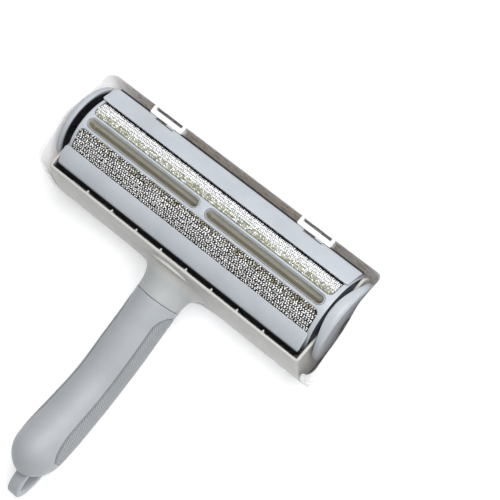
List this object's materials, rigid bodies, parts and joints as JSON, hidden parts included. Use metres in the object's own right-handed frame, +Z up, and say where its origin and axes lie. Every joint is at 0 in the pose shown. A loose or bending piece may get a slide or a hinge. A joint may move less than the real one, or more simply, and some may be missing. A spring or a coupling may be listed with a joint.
{
  "type": "hand-held lint and pet hair roller",
  "caption": "Hand-held roller that lifts lint and pet hair with a rocking fabric drum and keeps it in a hinged dust cover behind, with a neck and a grip handle.",
  "frame": {"origin": "on the flat crown of the dust cover that it lies on, straight below the drum's axle at mid-length", "axes": "+X along the roller, +Y from the handle towards the cover's hinges, +Z up, towards the roller side"},
  "size_m": [0.1918, 0.2053, 0.07],
  "materials": {
    "cool_gray_abs": "satin",
    "warm_gray_abs": "satin",
    "white_abs": "satin",
    "gray_soft_touch": "matte",
    "tread_gray": "matte",
    "dark_plastic": "matte",
    "olive_trough": "matte",
    "lint_fabric": "woven pile",
    "steel": "plain",
    "bush_acetal": "satin"
  },
  "bodies": {
    "frame": {"body_frame": "warm_gray_abs", "front_lip_plate": "cool_gray_abs", "rear_lip_plate": "cool_gray_abs", "bush_left": "bush_acetal", "bush_right": "bush_acetal", "handle_sleeve": "gray_soft_touch", "grip_panel_left": "gray_soft_touch", "grip_panel_right": "gray_soft_touch", "handle_core": "warm_gray_abs", "hanging_loop": "gray_soft_touch", "button_spring": "steel"},
    "drum": {"drum_shell": "cool_gray_abs", "slot_insert_left": "olive_trough", "slot_insert_right": "olive_trough", "fabric_strip_front": "lint_fabric", "fabric_strip_rear": "lint_fabric", "drum_end_left": "cool_gray_abs", "drum_end_right": "cool_gray_abs", "axle_left": "steel", "axle_right": "steel", "wheel_tyre_left": "tread_gray", "wheel_tyre_right": "tread_gray", "wheel_hub_left": "dark_plastic", "wheel_hub_right": "dark_plastic", "wheel_screw_left": "steel", "wheel_screw_right": "steel"},
    "cover": {"dust_cover": "white_abs", "cover_hinge_left": "white_abs", "cover_hinge_right": "white_abs", "latch_catch": "white_abs"},
    "button": {"release_button": "cool_gray_abs"}
  },
  "joints": [
    {"name": "drum_rock", "type": "hinge", "parent": "frame", "child": "drum", "pos_m": [0, 0, 0.046], "axis": [1, 0, 0], "range_deg": [-15, 15]},
    {"name": "cover_hinge", "type": "hinge", "parent": "frame", "child": "cover", "pos_m": [0, 0.0254, 0.0572], "axis": [1, 0, 0], "range_deg": [0, 75]},
    {"name": "release_button", "type": "slide", "parent": "frame", "child": "button", "axis": [0, 0, 1], "range_m": [0, 0.0012], "stiffness_N_per_m": 500, "deforming": ["button_spring"]}
  ]
}
